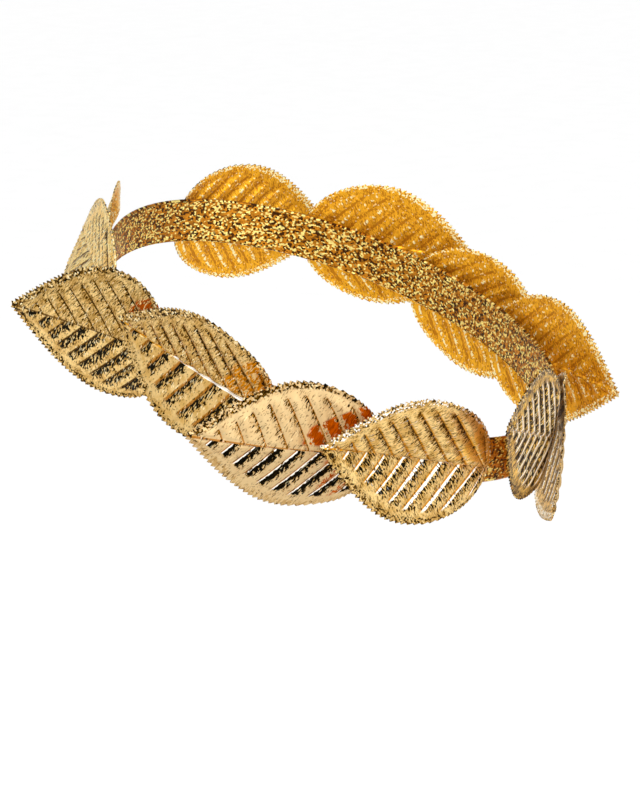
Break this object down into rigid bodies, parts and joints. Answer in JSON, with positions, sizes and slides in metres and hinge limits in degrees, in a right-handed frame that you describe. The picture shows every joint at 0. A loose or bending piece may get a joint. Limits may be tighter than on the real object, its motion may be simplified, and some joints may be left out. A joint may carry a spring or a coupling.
{
  "type": "leaf headband",
  "caption": "Flat elastic loop with pleated, toothed leaves of gold metallic cloth glued round its outside, each tip standing over the next leaf's base, in its worn shape.",
  "frame": {"origin": "middle of the head opening: the centre of the band's loop, which is also the centre of the half head that the band's wall leans on", "axes": "+Z is the wearer's up, -Y is the wearer's front, +X is the wearer's left"},
  "size_m": [0.2081, 0.2475, 0.1171],
  "materials": {
    "glitter_elastic": "deep gold knitted elastic with glitter",
    "leaf_cloth": "crinkled champagne-gold metallic cloth, pressed into pleats, orange-gold on the back"
  },
  "bodies": {
    "root": {"band": "glitter_elastic", "leaf_1": "leaf_cloth", "leaf_2": "leaf_cloth", "leaf_3": "leaf_cloth", "leaf_4": "leaf_cloth", "leaf_5": "leaf_cloth", "leaf_6": "leaf_cloth", "leaf_7": "leaf_cloth", "leaf_8": "leaf_cloth", "leaf_9": "leaf_cloth", "leaf_10": "leaf_cloth", "leaf_11": "leaf_cloth", "leaf_12": "leaf_cloth"}
  },
  "joints": []
}
